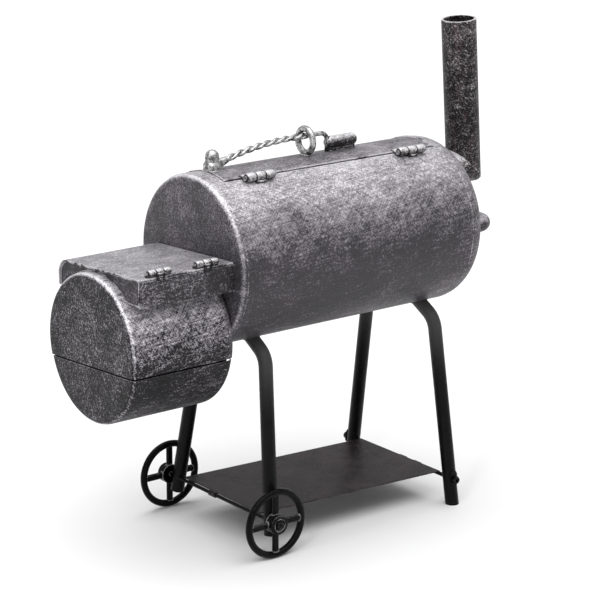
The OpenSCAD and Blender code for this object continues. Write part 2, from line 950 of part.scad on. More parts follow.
// Oblong plates that spread the tie bar's pull over the leg tubes.
module tie_plates() {
    color(black) for (s = [0, 1]) mirror([0, s, 0]) difference() {
        translate([tie_x, tie_leg_y, tie_z]) rotate([splay_a, 0, 0])
            translate([0, leg_r, 0]) rotate([-90, 0, 0]) union() {
                translate([-12, -10, 0]) cube([24, 20, 3]);
                for (e = [-1, 1]) translate([0, 10 * e, 0])
                    cylinder(r = 12, h = 3);
            }
        bar_y(tie_x, 0, far, tie_z, tie_r);
    }
}

// A hexagon nut on a bar along Y, its inner face at y.
module nut_y(x, y, z, flats, t, bore) {
    translate([x, y, z]) rotate([-90, 0, 0]) difference() {
        union() {
            linear_extrude(t) circle(flats / sqrt(3), $fn = 6);
            cylinder(r = flats / 2, h = t + 1.5);
        }
        translate([0, 0, -1]) cylinder(r = bore, h = t + 4);
    }
}

module tie_nuts() {
    y = tie_leg_y + leg_r + 5;
    color(black) for (s = [0, 1]) mirror([0, s, 0])
        nut_y(tie_x, y, tie_z, 19, 8, tie_r);
}

// ---- axle and wheels -----------------------------------------------

hub_in = 7.5;            // hub's depth inside the wheel's middle plane
hub_cup = 9;             // depth of the cup that holds the nut
axle_end = wheel_y + hub_out - 2;

module axle() {
    color(black) bar_y(axle_x, -axle_end, axle_end, axle_z, axle_r);
}

// A plain washer round the axle.
module washer(y, t) {
    difference() {
        bar_y(axle_x, y, y + t, axle_z, 11);
        bar_y(axle_x, y - 1, y + t + 1, axle_z, axle_r);
    }
}

module axle_washers() {
    color(black) for (s = [0, 1]) mirror([0, s, 0])
        washer(wheel_y + hub_out - hub_cup + 0.3, 1.5);
}

module axle_nuts() {
    color(black) for (s = [0, 1]) mirror([0, s, 0])
        nut_y(axle_x, wheel_y + hub_out - hub_cup + 1.8, axle_z, 17, 6, axle_r);
}

// One cast wheel at the origin, its axis along Z and its nut side up.
module wheel() {
    mid = wheel_r - rim_r;
    spoke_w = 19;
    spoke_t = 11;
    difference() {
        union() {
            rotate_extrude($fn = 96) union() {
                translate([mid, 0]) circle(rim_r);
                translate([0, -hub_in]) square([hub_r - 5, hub_in + hub_out]);
                translate([0, -hub_in]) square([hub_r, hub_in + hub_out - 5]);
                translate([hub_r - 5, hub_out - 5]) circle(5);
            }
            for (a = [0 : 90 : 270]) rotate([0, 0, a]) rotate([0, 90, 0])
                linear_extrude(mid) union() {
                    square([spoke_t, spoke_w - spoke_t], center = true);
                    for (e = [-1, 1]) translate([0, e * (spoke_w - spoke_t) / 2])
                        circle(spoke_t / 2);
                }
        }
        translate([0, 0, hub_out - hub_cup]) cylinder(r = 16, h = hub_cup + 1);
        translate([0, 0, -50]) cylinder(r = axle_r + running, h = 100);
    }
}

module wheel_back() {
    color(black) translate([axle_x, wheel_y, axle_z]) rotate([-90, 0, 0])
        wheel();
}

module wheel_front() mirror([0, 1, 0]) wheel_back();

// ---- shelf ---------------------------------------------------------

// The shelf's frame: origin over the tie bar, X along the sloping sheet.
module on_bars() {
    translate([tie_x, 0, tie_z]) rotate([0, -shelf_tilt, 0])
        translate([0, 0, tie_r + shelf_seat]) children();
}

module shelf() {
    color(dark) on_bars() translate([shelf_x0 - tie_x, -shelf_half, 0])
        cube([shelf_x1 - shelf_x0, 2 * shelf_half, shelf_t]);
}

// One tab, curled round a bar at the sheet's edge. It is no thicker than the
// sheet, so nothing stands above the sheet's top.
module clip(x, y, z, r) {
    clip_t = 3;
    difference() {
        bar_y(x, y - 13, y + 13, z, r + clip_t);
        bar_y(x, y - 14, y + 14, z, r);
    }
}

module shelf_clips() {
    color(dark) difference() {
        union() {
            clip(axle_x, -36, axle_z, axle_r);
            for (y = [11, 73]) clip(tie_x, y, tie_z, tie_r);
        }
        shelf();
    }
}

// ---- lift handle ---------------------------------------------------

// A U of tube on the chimney-end cap, for lifting and wheeling.
module lift_handle() {
    gx = barrel_x0 - lift_out;
    color(dark) difference() {
        union() {
            bar_y(gx, lift_bend - lift_y, lift_y - lift_bend, lift_z, lift_r);
            for (s = [0, 1]) mirror([0, s, 0]) {
                bar_x(gx + lift_bend, barrel_x0 + 30, lift_y, lift_z, lift_r);
                translate([gx + lift_bend, lift_y - lift_bend, lift_z])
                    rotate([0, 0, 90]) rotate_extrude(angle = 90)
                        translate([lift_bend, 0]) circle(lift_r);
            }
        }
        barrel_solid();
    }
}

barrel_shell();
barrel_cap_fire();
barrel_cap_flue();
door_stops();
grate_rails();
grate_flue();
grate_fire();
chamber_door();
door_hinge_fixed();
door_hinge_moving();
door_hinge_pins();
handle_post();
handle_rod();
handle_eye();
handle_block();
stack_duct();
stack_pipe();
damper_plate();
damper_spindle();
damper_lever();
firebox_shell();
firebox_cap_outer();
firebox_cap_inner();
hood_wall();
firebox_lid();
lid_hinge_fixed();
lid_hinge_moving();
lid_hinge_pins();
drawer_rails();
fire_grate();
ash_drawer();
ash_drawer_front();
leg_fire_back();
leg_fire_front();
leg_flue_back();
leg_flue_front();
leg_feet();
leg_plugs();
axle();
axle_washers();
axle_nuts();
wheel_back();
wheel_front();
tie_bar();
tie_plates();
tie_nuts();
shelf();
shelf_clips();
lift_handle();
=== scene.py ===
"""Looks of the offset smoker: materials, soft cast edges, the rope-twist handle,
weld beads, camera, floor and light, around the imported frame. Lengths are metres."""
import json
import math

import bmesh
import bpy
from mathutils import Matrix, Vector


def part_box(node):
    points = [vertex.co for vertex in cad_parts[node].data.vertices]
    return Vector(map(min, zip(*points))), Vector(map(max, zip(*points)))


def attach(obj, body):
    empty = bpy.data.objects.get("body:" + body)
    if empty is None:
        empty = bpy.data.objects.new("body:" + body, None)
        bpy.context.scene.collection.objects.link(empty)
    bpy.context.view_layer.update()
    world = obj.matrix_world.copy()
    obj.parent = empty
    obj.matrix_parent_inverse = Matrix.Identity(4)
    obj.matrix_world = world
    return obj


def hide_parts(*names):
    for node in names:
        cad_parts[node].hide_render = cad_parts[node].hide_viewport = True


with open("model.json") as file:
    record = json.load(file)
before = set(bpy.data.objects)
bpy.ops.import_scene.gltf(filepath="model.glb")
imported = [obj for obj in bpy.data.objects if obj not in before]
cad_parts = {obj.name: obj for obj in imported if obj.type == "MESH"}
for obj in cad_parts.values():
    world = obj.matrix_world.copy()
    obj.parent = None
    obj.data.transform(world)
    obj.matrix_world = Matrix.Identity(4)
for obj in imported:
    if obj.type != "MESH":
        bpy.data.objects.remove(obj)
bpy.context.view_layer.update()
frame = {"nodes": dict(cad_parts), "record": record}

MM = 0.001
TURN = 2 * math.pi
nodes = frame["nodes"]
body_of_node = {
    node: body
    for body, members in frame["record"]["behaviour"]["bodies"].items()
    for node in members
}
slot_of_node = {
    row["node"]: row["material_slot"] for row in frame["record"]["subparts"]
}


# ---- places taken from the frame -------------------------------------------

def centre(node):
    low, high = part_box(node)
    return (low + high) / 2


drum_low, drum_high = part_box("barrel_shell")
drum_r = (drum_high.y - drum_low.y) / 2
drum_z = drum_low.z + drum_r
flue_face_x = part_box("barrel_cap_flue")[0].x
flue_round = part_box("barrel_cap_flue")[1].x - flue_face_x
rod_low, rod_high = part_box("handle_rod")
eye = centre("handle_eye")


# ---- materials -------------------------------------------------------------

EDGE_SAMPLES = 6
WEAR_START, WEAR_FULL = 0.005, 0.09   # how bent a surface is as edge wear begins and is full
WEAR_REACH = 0.006                    # how wide a worn edge is on pewter
GLINT = (0.8, 0.78, 0.81, 1)          # brightest silver, a painted highlight where silver and painted top light are strongest
RUST = (0.085, 0.045, 0.05, 1)
STEEL_DIRT = (0.06, 0.057, 0.056, 1)
STEEL_BARE = (0.62, 0.62, 0.62, 1)


class Paint:
    """One material's node tree, with a short call for each kind of node."""

    def __init__(self, name, **sockets):
        self.mat = bpy.data.materials.new(name)
        self.mat.use_nodes = True
        self.tree = self.mat.node_tree
        self.shader = self.tree.nodes["Principled BSDF"]
        self.place = self.node("TexCoord")
        for socket, value in sockets.items():
            self.shader.inputs[socket.replace("_", " ")].default_value = value

    def node(self, kind, **settings):
        made = self.tree.nodes.new("ShaderNode" + kind)
        for key, value in settings.items():
            setattr(made, key, value)
        return made

    def put(self, value, socket):
        """Sets a socket to a number or colour, or links it to an output."""
        if isinstance(value, bpy.types.NodeSocket):
            self.tree.links.new(value, socket)
        else:
            socket.default_value = value

    def math(self, operation, a, b=0.0):
        made = self.node("Math", operation=operation)
        self.put(a, made.inputs[0])
        self.put(b, made.inputs[1])
        return made.outputs[0]

    def weigh(self, *terms):
        """The sum of each output times its weight."""
        total = 0.0
        for output, weight in terms:
            total = self.math("ADD", self.math("MULTIPLY", output, weight), total)
        return total

    def step(self, value, low, high):
        """0 below low, 1 above high and smooth between them."""
        made = self.node("MapRange", interpolation_type="SMOOTHSTEP")
        for socket, given in zip(made.inputs, (value, low, high, 0.0, 1.0)):
            self.put(given, socket)
        return made.outputs[0]

    def noise(self, size, detail=4.0, roughness=0.55, stretch=(1, 1, 1), turn=(0, 0, 0),
              shift=0.0):
        """Noise about 0 whose features are about size across, times stretch."""
        mapping = self.node("Mapping", vector_type="TEXTURE")
        mapping.inputs["Location"].default_value = (shift, -shift, 2 * shift)
        mapping.inputs["Rotation"].default_value = [math.radians(a) for a in turn]
        mapping.inputs["Scale"].default_value = [size * s for s in stretch]
        self.tree.links.new(self.place.outputs["Object"], mapping.inputs["Vector"])
        made = self.node("TexNoise")
        self.tree.links.new(mapping.outputs[0], made.inputs["Vector"])
        made.inputs["Scale"].default_value = 1.0
        made.inputs["Detail"].default_value = detail
        made.inputs["Roughness"].default_value = roughness
        return self.math("SUBTRACT", made.outputs["Fac"], 0.5)

    def facing(self, axis):
        """How far the surface faces along one axis of the object, from -1 to 1."""
        parts = self.node("SeparateXYZ")
        self.tree.links.new(self.place.outputs["Normal"], parts.inputs[0])
        return parts.outputs["XYZ".index(axis)]

    def edges(self, radius):
        """Near 1 on a sharp edge and 0 on a plain face."""
        bevel = self.node("Bevel", samples=EDGE_SAMPLES)
        bevel.inputs["Radius"].default_value = radius
        plain = self.node("NewGeometry")
        dot = self.node("VectorMath", operation="DOT_PRODUCT")
        self.tree.links.new(bevel.outputs[0], dot.inputs[0])
        self.tree.links.new(plain.outputs["Normal"], dot.inputs[1])
        bent = self.math("SUBTRACT", 1.0, dot.outputs["Value"])
        return self.step(bent, WEAR_START, WEAR_FULL)

    def mix(self, factor, a, b):
        made = self.node("Mix", data_type="RGBA")
        self.put(factor, made.inputs[0])
        self.put(a, made.inputs[6])
        self.put(b, made.inputs[7])
        return made.outputs[2]

    def bump(self, height, distance):
        made = self.node("Bump")
        made.inputs["Distance"].default_value = distance
        self.tree.links.new(height, made.inputs["Height"])
        self.tree.links.new(made.outputs[0], self.shader.inputs["Normal"])

    def finish(self, colour, roughness):
        self.put(colour, self.shader.inputs["Base Color"])
        self.put(roughness, self.shader.inputs["Roughness"])
        return self.mat


def grey(level, red=1.0, blue=1.0):
    return (level * red, level, level * blue, 1.0)


def pewter(name, dark, bright, base, top, low=0.12, patch=0.8, rust=0.0, edge=0.0,
           disc=0.0, spread=0.55, contrast=1.0, sheen=0.4, groove=0.0):
    """Dark patina dry-brushed with silver, with painted light: more silver on what faces up as a
    painted top light, and silver worn onto edges. base is how much silver a side wall has, top
    how much more a crest has as painted top light, low how much more an underside has as painted
    bounce light (painted shade where it is negative), patch how cloudy it is, rust how much rust
    shows, edge how worn the edges are, disc how much painted shade darkens a flat end (painted
    light where it is negative) inside the painted highlight on its rounded rim, spread how
    softly the silver fades out, contrast how strong the strokes are and groove how much painted
    shade darkens the surfaces that face along the axis."""
    p = Paint(name, Metallic=0.4, Specular_IOR_Level=sheen)
    grain = p.noise(0.008, detail=5, roughness=0.75)
    fine = p.noise(0.003, detail=2, roughness=0.7, shift=3.1)
    along = p.noise(0.0034, detail=2, stretch=(13, 1, 1), turn=(0, 4, 3), shift=1.3)
    cross = p.noise(0.0034, detail=2, stretch=(1, 1, 11), turn=(24, 31, 0), shift=2.2)
    slant = p.noise(0.0032, detail=2, stretch=(14, 1, 1), turn=(0, 38, 28), shift=5.7)
    back = p.noise(0.0034, detail=2, stretch=(12, 1, 1), turn=(0, -28, -34), shift=9.1)
    smears = p.noise(0.03, detail=6, roughness=0.7, stretch=(3, 1, 1), turn=(0, 20, 10),
                     shift=7.7)
    clouds = p.noise(0.17, detail=5, roughness=0.6, shift=8.0)
    facing = p.facing("Z")
    # up is painted top light: more silver on faces that point up. down is painted bounce light
    # on undersides, and painted shade where low is negative.
    up = p.step(facing, -0.2, 1.0)
    down = p.step(facing, -0.3, -0.95)
    strokes = p.weigh((grain, 0.6), (fine, 1.0), (along, 0.9), (cross, 0.8), (slant, 1.0),
                      (back, 0.9), (smears, 0.8))
    silver_and_light = p.weigh((strokes, contrast), (clouds, patch), (up, top), (down, low),
                    (1.0, base))
    if edge:
        worn = p.math("MULTIPLY", p.edges(WEAR_REACH), p.step(smears, -0.1, 0.1))
        silver_and_light = p.weigh((silver_and_light, 1.0), (worn, edge))
    # Painted shade in the grooves between knuckles: faces that point along X are darkened.
    if groove:
        inward = p.step(p.math("ABSOLUTE", p.facing("X")), 0.25, 0.8)
        silver_and_light = p.weigh((silver_and_light, 1.0), (inward, -groove))
    # Painted shade on a flat end facing along X (painted light where the setting is negative),
    # and a painted highlight on its rounded rim.
    if disc:
        end = p.facing("X")
        flat = p.step(end, 0.72, 0.98)
        rim = p.math("MULTIPLY", p.step(end, 0.2, 0.6), p.math("SUBTRACT", 1.0, flat))
        silver_and_light = p.weigh((silver_and_light, 1.0), (flat, -disc), (rim, 0.4))
    silver = p.step(silver_and_light, -0.3, spread)
    # glint is a painted highlight: the brightest silver, mostly where the painted top light adds
    # most.
    glint = p.step(silver_and_light, 0.34, 1.0)
    hue = p.step(clouds, -0.1, 0.2)
    body = p.mix(hue, dark, (dark[0] * 1.25, dark[1] * 1.1, dark[2] * 1.2, 1))
    if rust:
        stain = p.step(p.weigh((p.noise(0.022, detail=5, stretch=(1, 1, 3), shift=4.4), 1.0),
                               (clouds, 0.5), (fine, 0.5)), 0.0, 0.3)
        body = p.mix(p.math("MULTIPLY", stain, rust), body, RUST)
    colour = p.mix(silver, body, bright)
    colour = p.mix(glint, colour, GLINT)
    p.bump(p.weigh((grain, 0.5), (along, 0.4), (cross, 0.4), (slant, 0.4), (smears, 0.8),
                   (clouds, 1.2)), 0.002)
    rough = p.weigh((silver, -0.12), (grain, 0.25), (1.0, 0.5))
    return p.finish(colour, rough)


UPPER_GREY_LOW, UPPER_GREY_HIGH = 0.34, 0.62      # heights between which the legs turn grey


def black_paint(name, level, gloss, scuff=0.5, warm=1.0, rub_and_highlight_grey=0.06, sheen=0.16,
                wear=0.45, lit=0.0, reach=0.003, mottle=1.0, upper_grey=0.0):
    """Satin black over steel, rubbed through to grey on its edges, with a painted highlight:
    wear is how much of the edges turn grey, lit how much more grey the edges that face up get as
    a painted highlight, and reach how wide an edge is.
    scuff is how scratched the faces are, warm how much redder than grey they are, mottle how
    uneven the black is, and upper_grey how grey it turns just below the drum."""
    p = Paint(name, Specular_IOR_Level=sheen)
    grain = p.noise(0.003, detail=4, roughness=0.6)
    smear = p.noise(0.02, detail=4, stretch=(1, 1, 3), shift=1.9)
    patches = p.noise(0.09, detail=5, roughness=0.65, shift=3.4)
    scratch = p.noise(0.0016, detail=2, stretch=(22, 1, 1), turn=(0, 8, 21), shift=6.0)
    edges = p.edges(reach)
    # crest is a painted highlight: edges that face up.
    crest = p.math("MULTIPLY", edges, p.step(p.facing("Z"), 0.0, 0.5))
    rub_and_highlight = p.step(p.weigh((edges, wear), (crest, lit), (smear, 0.9), (grain, 0.7),
                         (scratch, scuff)), 0.4, 0.7)
    tone = p.step(p.weigh((smear, 0.7 * mottle), (patches, mottle), (grain, 0.5)), -0.2, 0.25)
    cool = (1 + warm) / 2
    colour = p.mix(tone, grey(level * 0.5, warm, cool), grey(level * 1.7, warm, cool))
    # The legs turn greyer towards the top, just below the drum.
    if upper_grey:
        place = p.node("SeparateXYZ")
        p.put(p.place.outputs["Object"], place.inputs[0])
        greyer_higher = p.step(place.outputs["Z"], UPPER_GREY_LOW, UPPER_GREY_HIGH)
        colour = p.mix(greyer_higher, colour, grey(upper_grey, 1.03, 1.03))
    # Grey on rubbed edges, and a painted highlight on edges that face up.
    colour = p.mix(rub_and_highlight, colour, grey(rub_and_highlight_grey, 1.05))
    p.bump(p.weigh((grain, 1.0), (smear, 0.6)), 0.0009)
    return p.finish(colour, p.weigh((grain, 0.3), (smear, 0.3), (patches, 0.25),
                                    (1.0, gloss)))


def bright_steel(name):
    """Worn bright steel with dark dirt in random patches, and a little darker on faces that
    point down.
    """
    p = Paint(name, Metallic=1.0)
    grain = p.noise(0.002, detail=4, roughness=0.65)
    stain = p.noise(0.012, detail=4, shift=2.0)
    # The facing term makes faces that point down a little darker.
    dirt = p.step(p.weigh((stain, 1.0), (grain, 0.8), (p.facing("Z"), 0.1)), -0.16, 0.12)
    colour = p.mix(dirt, STEEL_DIRT, STEEL_BARE)
    p.bump(grain, 0.0008)
    return p.finish(colour, p.weigh((dirt, -0.16), (grain, 0.2), (1.0, 0.4)))


def soot(name, level, brown):
    """Matt soot and baked grease."""
    p = Paint(name, Specular_IOR_Level=0.3)
    grain = p.noise(0.003, detail=5, roughness=0.7)
    clouds = p.noise(0.05, detail=4, shift=3.0)
    colour = p.mix(p.step(p.weigh((grain, 1.0), (clouds, 1.0)), -0.15, 0.25),
                   grey(level * 0.6, brown, 0.9), grey(level * 1.8, brown, 0.8))
    p.bump(grain, 0.001)
    return p.finish(colour, p.weigh((grain, 0.4), (1.0, 0.82)))


DARK = grey(0.02, 1.1, 1.16)
SILVER = grey(0.31, 1.06, 1.09)
finishes = {
    "drum_steel": pewter("drum_pewter", grey(0.036, 1.08, 1.14), SILVER, base=-0.33,
                         top=0.86, edge=0.6),
    "end_steel": pewter("end_pewter", DARK, SILVER, base=-0.36, top=0.8, disc=-0.04),
    "stack_steel": pewter("stack_pewter", grey(0.008, 1.14, 1.05), grey(0.3, 1.05, 1.03),
                          base=-0.25, top=1.3, rust=0.6, edge=0.8, spread=0.8, contrast=1.4,
                          sheen=0.2),
    "bright_steel": bright_steel("worn_bright_steel"),
    "black_paint": black_paint("satin_black", 0.003, 0.3, sheen=0.11, upper_grey=0.075),
    # On the wheels the grey edges, most of all those facing up, stand partly for painted
    # highlights along the rims.
    "wheel_iron": black_paint("gloss_black_iron", 0.002, 0.16, scuff=0.2, sheen=0.09,
                              rub_and_highlight_grey=0.4, wear=0.5, lit=1.6, reach=0.006),
    "shelf_paint": black_paint("brown_black_sheet", 0.018, 0.34, scuff=1.8, warm=1.3,
                               rub_and_highlight_grey=0.1, sheen=0.12, mottle=2.2),
    "grate_steel": soot("browned_rod", 0.07, 1.2),
    "sooty_iron": soot("sooty_iron", 0.03, 1.1),
}
drum_end = pewter("drum_end_pewter", grey(0.04, 1.08, 1.14), SILVER, base=-0.26, top=0.8,
                  disc=-0.06)
fire_body = pewter("fire_pewter", grey(0.009, 1.1, 1.16), grey(0.34, 1.06, 1.09),
                   base=-0.3, top=0.95, low=-0.1, disc=0.04, contrast=1.35, sheen=0.25)
drawer_skin = pewter("drawer_pewter", grey(0.009, 1.1, 1.16), grey(0.3, 1.06, 1.09),
                     base=-0.36, top=0.95, disc=0.03, contrast=1.4, sheen=0.25)
door_skin = pewter("door_pewter", grey(0.034, 1.08, 1.14), SILVER, base=-0.34, top=0.56,
                   edge=3.0)
# Hinge knuckles: painted top light on their tops, painted shade on their undersides and in their
# grooves.
worn_and_lit_hinge = pewter("hinge_pewter", grey(0.014, 1.1, 1.1), grey(0.5, 1.02, 1.02),
                     base=-0.12, top=0.85, low=-0.3, contrast=1.2, groove=0.9)
worn_lid = pewter("lid_pewter", grey(0.024, 1.1, 1.16), SILVER, base=-0.28, top=0.74,
                  edge=3.2)
worn_hood = pewter("hood_pewter", DARK, SILVER, base=-0.24, top=0.72, edge=0.3,
                   contrast=1.2)
worn_block = pewter("block_pewter", grey(0.012, 1.1, 1.1), grey(0.42, 1.02, 1.03),
                    base=-0.3, top=1.0, edge=0.6, contrast=1.2)
special_looks = {
    "barrel_cap_fire": drum_end,
    "barrel_cap_flue": drum_end,
    "chamber_door": door_skin,
    "firebox_shell": fire_body,
    "firebox_cap_outer": fire_body,
    "ash_drawer": drawer_skin,
    "ash_drawer_front": drawer_skin,
    "firebox_lid": worn_lid,
    "hood_wall": worn_hood,
    "handle_block": worn_block,
}


def dress(obj, slot):
    """Gives a piece the finish of one of the record's slots."""
    obj.data.materials.clear()
    obj.data.materials.append(finishes[slot])


for name, obj in nodes.items():
    dress(obj, slot_of_node[name])
    if name in special_looks:
        obj.data.materials[0] = special_looks[name]


# ---- softened edges on the steel parts -------------------------------------

SHARP = math.radians(35)      # edges that turn further than this are rounded
JOIN = 2e-6                   # how close two corners are when they are the same one


def soften(node, width):
    """Rounds a node's sharp edges without moving its faces."""
    obj = nodes[node]
    weld = obj.modifiers.new("join_seams", "WELD")
    weld.merge_threshold = JOIN
    bevel = obj.modifiers.new("soft_edges", "BEVEL")
    bevel.width = width
    bevel.segments = 2
    bevel.limit_method = "ANGLE"
    bevel.angle_limit = SHARP
    bevel.harden_normals = False
    shade = obj.modifiers.new("even_shading", "WEIGHTED_NORMAL")
    shade.keep_sharp = False


SOFT_WIDTHS = {               # in millimetres
    "firebox_lid": 3.5, "hood_wall": 2.0, "chamber_door": 1.2, "handle_post": 2.5,
    "handle_eye": 3.0, "handle_block": 2.0, "stack_pipe": 2.2, "stack_duct": 2.2,
    "firebox_shell": 1.8, "firebox_cap_outer": 1.8, "ash_drawer": 1.8,
    "ash_drawer_front": 1.8, "wheel_back": 3.5, "wheel_front": 3.5, "leg_feet": 1.0,
    "tie_plates": 0.8, "tie_nuts": 0.8, "axle_nuts": 0.6, "shelf": 0.8, "shelf_clips": 0.8,
    "damper_lever": 0.8,
}
for name, width in SOFT_WIDTHS.items():
    soften(name, width * MM)


# ---- mesh helpers ----------------------------------------------------------

def new_piece(name, bm, body, slot):
    """A mesh object made from bm, riding on a body in one of the finishes."""
    bmesh.ops.recalc_face_normals(bm, faces=bm.faces)
    mesh = bpy.data.meshes.new(name)
    bm.to_mesh(mesh)
    bm.free()
    for face in mesh.polygons:
        face.use_smooth = True
    obj = bpy.data.objects.new(name, mesh)
    bpy.context.scene.collection.objects.link(obj)
    dress(obj, slot)
    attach(obj, body)
    return obj


def sweep(bm, path, radii, sides=16, closed=False):
    """A round tube through the points of path, with one radius for each."""
    count = len(path)
    rings = []
    normal = None
    for i, point in enumerate(path):
        before = path[(i - 1) % count] if closed or i else point
        after = path[(i + 1) % count] if closed or i < count - 1 else point
        tangent = (after - before).normalized()
        if normal is None:
            normal = tangent.orthogonal().normalized()
        normal = (normal - tangent * normal.dot(tangent)).normalized()
        side = tangent.cross(normal)
        rings.append([
            bm.verts.new(point + radii[i] * (math.cos(a) * normal + math.sin(a) * side))
            for a in (TURN * k / sides for k in range(sides))
        ])
    pairs = list(zip(rings, rings[1:]))
    if closed:
        pairs.append((rings[-1], rings[0]))
    for low, high in pairs:
        shift = 0
        if closed and high is rings[0]:
            shift = min(range(sides), key=lambda s: (low[0].co - high[s].co).length)
        for k in range(sides):
            bm.faces.new((low[k], low[(k + 1) % sides],
                          high[(k + 1 + shift) % sides], high[(k + shift) % sides]))
    if not closed:
        bm.faces.new(rings[0])
        bm.faces.new(rings[-1])


# ---- twisted handle rod ------------------------------------------------------

ROD_DROP = 29 * MM            # how far the rod's start lies below its level run
ROD_FLAT_X = -8.5 * MM        # X where its rise has levelled out
ROD_BEND = 22 * MM            # bend radius above its down-turned leg
ROD_SINK = 1 * MM             # how far its leg's end stops above the solid's
ROD_STEP = 1.6 * MM           # distance between points along it
STRAND_R = 4.9 * MM           # radius of one of its two strands
STRAND_OFFSET = 4.2 * MM      # from the rod's axis to a strand's
STRAND_PITCH = 60 * MM        # length of one full turn of the strands
STRAND_TUCK = 4               # points that the strands run on into the plain tail
TAIL_INSET = 0.2 * MM         # how much thinner the tail is than the solid
BEND_STEPS = 12
rod_r = (rod_high.y - rod_low.y) / 2
rod_y = (rod_high.y + rod_low.y) / 2


def rod_route(step):
    """Points along the rod's axis: rising arc, level run, bend and leg."""
    top = rod_high.z - rod_r
    run = rod_high.x - ROD_FLAT_X
    arc_r = (run ** 2 + ROD_DROP ** 2) / (2 * ROD_DROP)
    arc = math.asin(run / arc_r)
    count = round(arc * arc_r / step)
    points = [
        Vector((ROD_FLAT_X + arc_r * math.sin(a), rod_y, top - arc_r * (1 - math.cos(a))))
        for a in (arc * (1 - i / count) for i in range(count))
    ]
    leg_x = rod_low.x + rod_r
    level = ROD_FLAT_X - leg_x - ROD_BEND
    count = round(level / step)
    points += [Vector((ROD_FLAT_X - level * i / count, rod_y, top)) for i in range(count)]
    points += [
        Vector((leg_x + ROD_BEND * (1 - math.sin(a)), rod_y, top - ROD_BEND * (1 - math.cos(a))))
        for a in (math.pi / 2 * i / BEND_STEPS for i in range(BEND_STEPS + 1))
    ]
    points.append(Vector((leg_x, rod_y, rod_low.z + ROD_SINK)))
    return points


def twist_rod():
    """Two strands laid round each other up to the eye, and a plain tube beyond it."""
    route = rod_route(ROD_STEP)
    split = next(i for i, point in enumerate(route) if point.x < eye.x)
    bm = bmesh.new()
    for turn in (0.0, math.pi):
        strand = []
        walked = 0.0
        for i in range(split + STRAND_TUCK):
            tangent = (route[i + 1] - route[i]).normalized()
            walked += (route[i + 1] - route[i]).length
            side = Vector((0, 1, 0))
            lift = side.cross(tangent).normalized()
            angle = turn + TURN * walked / STRAND_PITCH
            out = math.cos(angle) * side + math.sin(angle) * lift
            strand.append(route[i] + STRAND_OFFSET * out)
        sweep(bm, strand, [STRAND_R] * len(strand), sides=14)
    tail = route[split:]
    sweep(bm, tail, [rod_r - TAIL_INSET] * len(tail), sides=24)
    piece = new_piece("twisted_rod", bm, body_of_node["handle_rod"], "bright_steel")
    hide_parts("handle_rod")


twist_rod()


# ---- crowned hinges ------------------------------------------------------------

DOOR_KNUCKLE, LID_KNUCKLE = 12 * MM, 9 * MM    # radii of the two sizes of knuckle
KNUCKLE_MIN = 15 * MM         # edges along X longer than this are a knuckle's
KNUCKLE_HALF = 8              # steps from a knuckle's middle to its end
KNUCKLE_END = 0.62            # how thick its end is, beside its middle
PLATE_ROUND = 1.2 * MM        # rounding of the plates' edges
FOOT_ROUND = 2.4 * MM         # rounding of the fixed door plates' edges
FOOT_SPAN = (-1.6, 3.6)       # the fixed door plates' angles from the pin, in degrees
FOOT_SINK, FOOT_RISE = 1 * MM, 7 * MM          # below and above the drum's skin
DOOR_LEAF_SPAN = (-7, 0)      # the moving door plates' angles from the pin
DOOR_LEAF_GAP, DOOR_LEAF_RISE = 0.7 * MM, 5 * MM
LID_DROP = 8.5 * MM           # how far the fixed lid plates reach below the pin
LID_FOLD, LID_FOLD_RISE = 3 * MM, 14 * MM      # thickness and height of their fold
LID_LEAF_REACH, LID_LEAF_OVER = 13 * MM, 4 * MM
LID_LEAF_SINK, LID_LEAF_RISE = 1 * MM, 4 * MM


def hinge_axis(joint):
    """Y and Z of a hinge's axis."""
    place = next(j["pos_m"] for j in frame["record"]["behaviour"]["joints"]
                 if j["name"] == joint)
    return place[1], place[2]


def knuckle_spans(node):
    """The X ranges of the knuckles in a hinge node."""
    mesh = nodes[node].data
    found = set()
    for edge in mesh.edges:
        ends = sorted(mesh.vertices[i].co.x for i in edge.vertices)
        if ends[1] - ends[0] > KNUCKLE_MIN:
            found.add((round(ends[0], 4), round(ends[1], 4)))
    return sorted(found)


def extrude_x(bm, outline, x0, x1):
    """A bar along X whose section is a list of Y and Z."""
    rings = [[bm.verts.new((x, y, z)) for y, z in outline] for x in (x0, x1)]
    for k in range(len(outline)):
        after = (k + 1) % len(outline)
        bm.faces.new((rings[0][k], rings[0][after], rings[1][after], rings[1][k]))
    for ring in rings:
        bm.faces.new(ring)


def arc_outline(first, last, inner, outer):
    """A section bent round the drum between two angles behind its crest."""
    steps = 6
    angles = [math.radians(first + (last - first) * i / steps) for i in range(steps + 1)]
    return ([(inner * math.sin(a), drum_z + inner * math.cos(a)) for a in angles]
            + [(outer * math.sin(a), drum_z + outer * math.cos(a)) for a in reversed(angles)])


def box_outline(y0, z0, y1, z1):
    return [(y0, z0), (y1, z0), (y1, z1), (y0, z1)]


